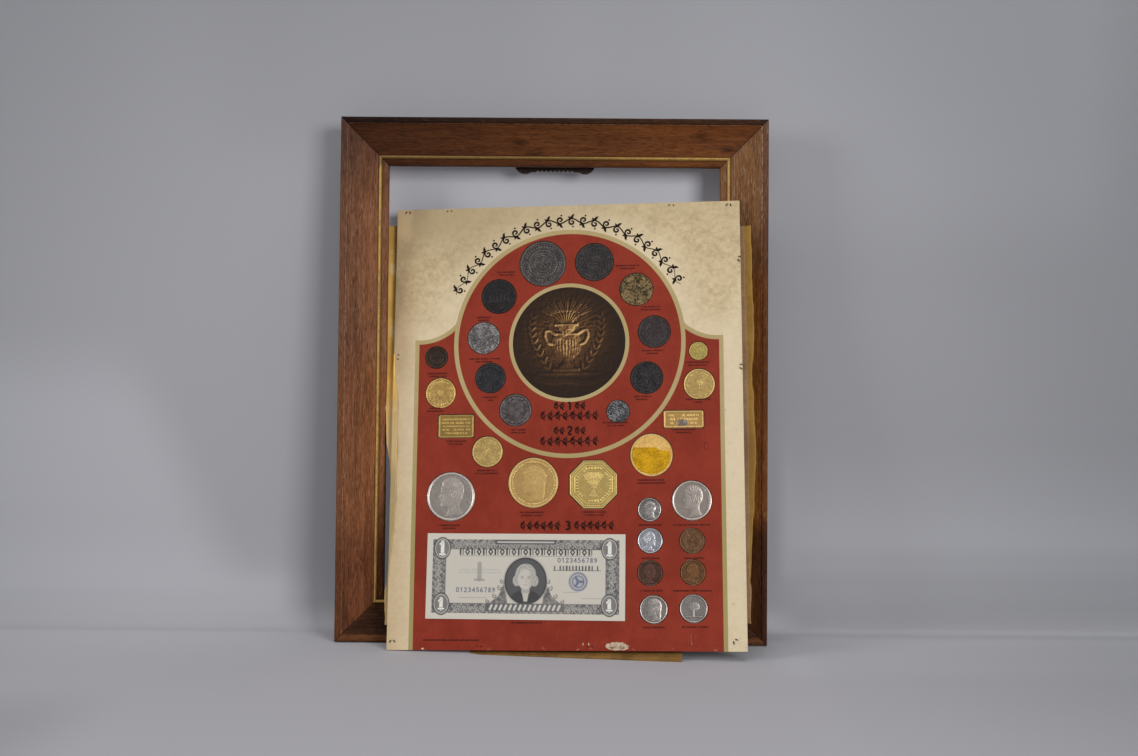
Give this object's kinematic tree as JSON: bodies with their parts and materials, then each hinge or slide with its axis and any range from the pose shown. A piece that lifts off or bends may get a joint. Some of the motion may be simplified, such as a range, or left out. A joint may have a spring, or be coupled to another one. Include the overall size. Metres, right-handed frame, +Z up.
{
  "type": "framed coin set",
  "caption": "Walnut picture frame leaning back, with the printed board of coins, small bars and a banknote that belongs in it standing in front and resting on the frame.",
  "frame": {"origin": "bottom centre of the whole arrangement's box, on the table", "axes": "+Z up, -Y towards the viewer of the coin board, +X to the viewer's right"},
  "size_m": [0.3456, 0.1102, 0.4219],
  "materials": {
    "walnut": "satin varnish, worn at the edges",
    "gilt": "gilded wood slip",
    "steel": "dull",
    "printed_card": "matt print",
    "grey_card": "raw card",
    "note_paper": "printed paper",
    "kraft_paper": "gummed brown paper",
    "pewter": "dark patina",
    "silver": "struck, satin",
    "bronze": "dark patina",
    "gold": "struck, satin",
    "clear_plastic": "clear"
  },
  "bodies": {
    "frame": {"rail_top": "walnut", "rail_right": "walnut", "rail_bottom": "walnut", "rail_left": "walnut", "gilt_fillet_top": "gilt", "gilt_fillet_right": "gilt", "gilt_fillet_bottom": "gilt", "gilt_fillet_left": "gilt", "corner_nail_top_left": "steel", "corner_nail_top_right": "steel", "corner_nail_bottom_left": "steel", "corner_nail_bottom_right": "steel", "sawtooth_hanger": "steel", "hanger_nail_left": "steel", "hanger_nail_right": "steel"},
    "bottom_tape": {"bottom_tape": "kraft_paper"},
    "panel": {"coin_board": "printed_card", "backing_board": "grey_card", "ring_coin_1": "pewter", "ring_coin_2": "pewter", "ring_coin_3": "pewter", "ring_coin_4": "pewter", "ring_coin_5": "pewter", "ring_coin_6": "pewter", "ring_coin_7": "pewter", "ring_coin_8": "pewter", "ring_coin_9": "pewter", "ring_coin_10": "pewter", "silver_dollar": "silver", "half_dollar": "silver", "dime": "silver", "steel_cent": "silver", "nickel_left": "silver", "nickel_right": "silver", "small_bronze_coin": "bronze", "olive_cent": "bronze", "dark_cent": "bronze", "brown_cent": "bronze", "gold_coin_left": "gold", "gold_coin_low": "gold", "small_gold_coin": "gold", "gold_coin_right": "gold", "large_gold_coin": "gold", "octagonal_gold_coin": "gold", "gold_bar_left": "gold", "gold_bar_right": "gold", "gold_dust": "gold", "capsule_dish": "clear_plastic", "capsule_cover": "clear_plastic", "banknote": "note_paper", "tape_right": "kraft_paper", "tape_left": "kraft_paper", "bottom_tape_glued": "kraft_paper", "staple_top_left": "steel", "staple_top_right": "steel", "staple_bottom_left": "steel", "staple_bottom_right": "steel", "staple_edge_upper": "steel", "staple_edge_middle": "steel"}
  },
  "joints": [
    {"name": "panel_draw_off", "type": "slide", "parent": "frame", "child": "bottom_tape", "axis": [0, -1, 0], "range_m": [0, 0.2]},
    {"name": "panel_tilt", "type": "hinge", "parent": "bottom_tape", "child": "panel", "pos_m": [0.02056, -0.03569, 0.00404], "axis": [0.9946, -0.0996, 0.0273], "range_deg": [0, 12.1]}
  ]
}
